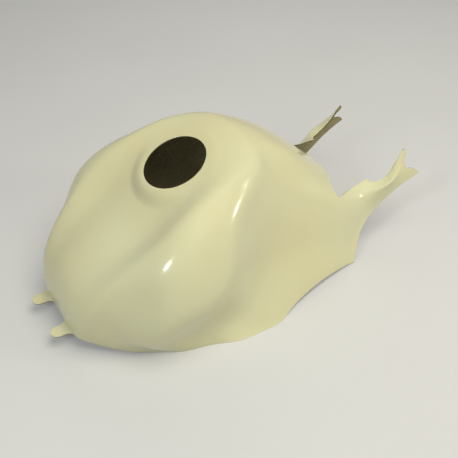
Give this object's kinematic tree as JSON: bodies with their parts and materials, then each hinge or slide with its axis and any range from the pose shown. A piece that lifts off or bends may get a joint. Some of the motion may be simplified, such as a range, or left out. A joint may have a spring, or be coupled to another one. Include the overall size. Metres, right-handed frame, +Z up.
{
  "type": "motorcycle tank cover",
  "caption": "One-piece moulded glass-fibre shell that drops over a motorcycle's fuel tank, with a round filler hole, front tongues and forked rear arms.",
  "frame": {"origin": "on the floor under the middle of the cover's box, where it rests on its hem", "axes": "+Y from the front tongues to the rear arms, +Z up, X across, the left half at +X"},
  "size_m": [0.4134, 0.74, 0.2821],
  "materials": {
    "gel_coat": "glossy ivory gel coat outside, raw tan glass laminate inside and on the trimmed edges"
  },
  "bodies": {
    "root": {"tank_cover": "gel_coat"}
  },
  "joints": []
}
